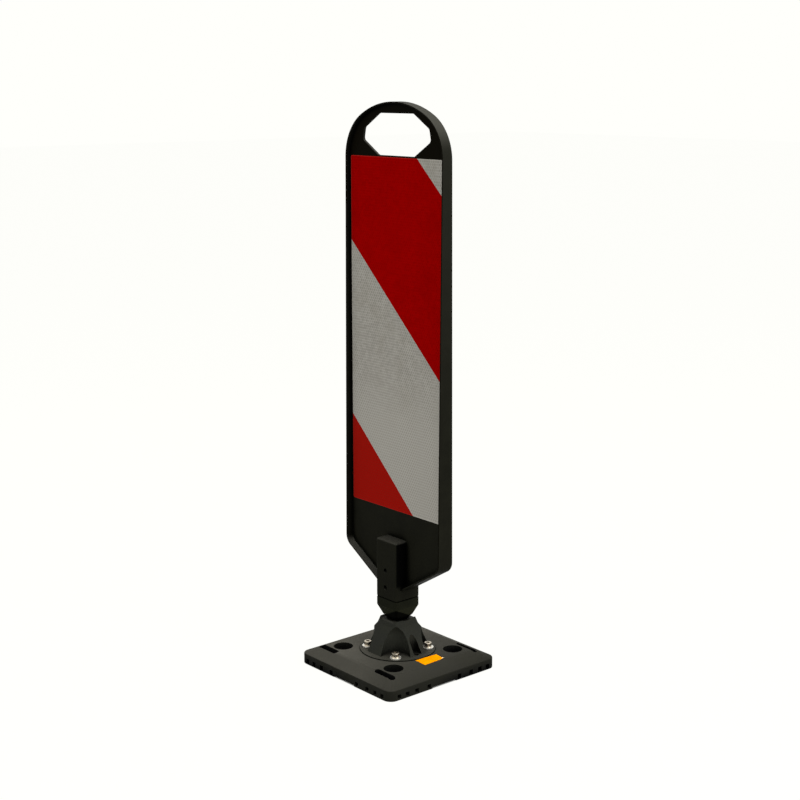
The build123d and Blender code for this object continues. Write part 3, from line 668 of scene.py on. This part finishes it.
def stickerFinish(look):
    finish, tree, shader = startFinish("orangeVinyl")
    grain = placeGroup(tree, mouldGrain, fine=look["fine"], patch=look["patch"])
    colour = mixColour(tree, grain["mottle"], look["colour"], look["deep"])
    scratch = placeGroup(tree, fineScratches, density=look["density"])["mask"]
    colour = tinted(tree, colour, scratch, look["wornShare"], look["worn"])
    tipCorner = tuple(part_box("marker_film")[1])
    toTip = vectorMaths(tree, "SUBTRACT", objectSpot(tree), tipCorner)
    bare = ramp(tree, vectorMaths(tree, "LENGTH", toTip), *look["tipSpan"])
    feed(tree, mixColour(tree, bare, colour, look["tip"]), shader.inputs["Base Color"])
    setRoughness(tree, shader, grain["mottle"], look)
    shader.inputs["Specular IOR Level"].default_value = look["specular"]
    addBump(tree, shader, grain["height"], look)
    return finish


sticker = makeSticker(stickerLook)
orangeVinyl = stickerFinish(stickerLook)
sticker.data.materials.append(orangeVinyl)
dress("marker_film", orangeVinyl)
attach(sticker, "base")
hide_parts("marker_film")
print("sticker made")


# studio: white floor and room, soft lamps, the camera
roomLook = dict(white=(1.0, 1.0, 0.965, 1.0), strength=0.45)
floorLook = dict(
    size=40.0, drop=0.0004, colour=(0.5, 0.5, 0.48, 1.0), glow=1.045, glowShare=0.93,
    contactReach=0.02, contactSpan=(0.15, 0.5),
)
lampLooks = [
    dict(name="topLight", at=(0.3, 0.2, 3.2), aim=(0, 0, 0.3), size=(2.6, 2.6), power=66),
    dict(name="rightLight", at=(2.8, 0.4, 1.8), aim=(0, 0, 0.5), size=(1.6, 2.2), power=76),
    dict(name="frontLight", at=(-0.6, -3.0, 2.0), aim=(0, 0, 0.5), size=(2.0, 2.2), power=36),
]
cameraLook = dict(
    at=(1.91725, -1.64323, 1.02336), turn=49.28108, tilt=12.09505, roll=-0.06566,
    lens=67.399, sensor=36.0, farEnd=100.0,
    shift=(-0.5 / 800, 0.5 / 800),   # half a pixel of a picture 800 pixels wide
)


def lightPathShare(tree):
    path = tree.nodes.new("ShaderNodeLightPath").outputs
    seen = maths(tree, "MAXIMUM", path["Is Camera Ray"], path["Is Glossy Ray"])
    return maths(tree, "MAXIMUM", seen, path["Is Transmission Ray"])


def makeFloor(look, white):
    mesh = bmesh.new()
    half = look["size"] / 2
    corners = ((-half, -half), (half, -half), (half, half), (-half, half))
    mesh.faces.new([mesh.verts.new((x, y, -look["drop"])) for x, y in corners])
    data = bpy.data.meshes.new("floor")
    mesh.to_mesh(data)
    mesh.free()
    floor = bpy.data.objects.new("floor", data)
    scene.collection.objects.link(floor)
    paint = bpy.data.materials.new("paleFloor")
    paint.use_nodes = True
    tree = paint.node_tree
    tree.nodes.clear()
    matt = addNode(tree, "ShaderNodeBsdfDiffuse", look["colour"]).outputs[0]
    glow = addNode(tree, "ShaderNodeEmission", white, look["glow"]).outputs[0]
    under = tree.nodes.new("ShaderNodeAmbientOcclusion")   # painted contact shadow, dark where the plate nearly touches
    under.inputs["Distance"].default_value = look["contactReach"]
    clear = ramp(tree, under.outputs["AO"], *look["contactSpan"])
    share = maths(tree, "MULTIPLY", lightPathShare(tree), look["glowShare"])
    share = maths(tree, "MULTIPLY", share, clear)
    mixed = addNode(tree, "ShaderNodeMixShader", share, matt, glow).outputs[0]
    tree.links.new(mixed, tree.nodes.new("ShaderNodeOutputMaterial").inputs[0])
    data.materials.append(paint)


def makeRoom(look):
    room = bpy.data.worlds.new("room")
    scene.world = room
    room.use_nodes = True
    tree = room.node_tree
    tree.nodes.clear()
    seen = lightPathShare(tree)
    strength = addNode(tree, "ShaderNodeMapRange", seen, 0.0, 1.0, look["strength"], 1.0).outputs[0]
    glow = addNode(tree, "ShaderNodeBackground", look["white"], strength).outputs[0]
    tree.links.new(glow, tree.nodes.new("ShaderNodeOutputWorld").inputs[0])


def makeLamp(look):
    data = bpy.data.lights.new(look["name"], "AREA")
    data.shape = "RECTANGLE"
    data.size, data.size_y = look["size"]
    data.energy = look["power"]
    lamp = bpy.data.objects.new(look["name"], data)
    lamp.location = look["at"]
    lamp.rotation_mode = "QUATERNION"
    aimed = Vector(look["aim"]) - Vector(look["at"])
    lamp.rotation_quaternion = aimed.to_track_quat("-Z", "Y")
    lamp.visible_camera = False
    scene.collection.objects.link(lamp)


def makeCamera(look):
    turn, tilt, roll = (math.radians(look[part]) for part in ("turn", "tilt", "roll"))
    level = math.cos(tilt)
    back = Vector((math.sin(turn) * level, -math.cos(turn) * level, math.sin(tilt)))
    right = (-back).cross(Vector((0, 0, 1))).normalized()
    up = right.cross(-back)
    rolledRight = right * math.cos(roll) + up * math.sin(roll)
    rolledUp = up * math.cos(roll) - right * math.sin(roll)
    data = bpy.data.cameras.new("camera")
    data.sensor_width = look["sensor"]
    data.lens = look["lens"]
    data.clip_end = look["farEnd"]
    data.shift_x, data.shift_y = look["shift"]
    camera = bpy.data.objects.new("camera", data)
    turned = Matrix((rolledRight, rolledUp, back)).transposed().to_4x4()
    camera.matrix_world = Matrix.Translation(look["at"]) @ turned
    scene.collection.objects.link(camera)
    scene.camera = camera


makeFloor(floorLook, roomLook["white"])
makeRoom(roomLook)
for lampLook in lampLooks:
    makeLamp(lampLook)
makeCamera(cameraLook)
print("studio ready")
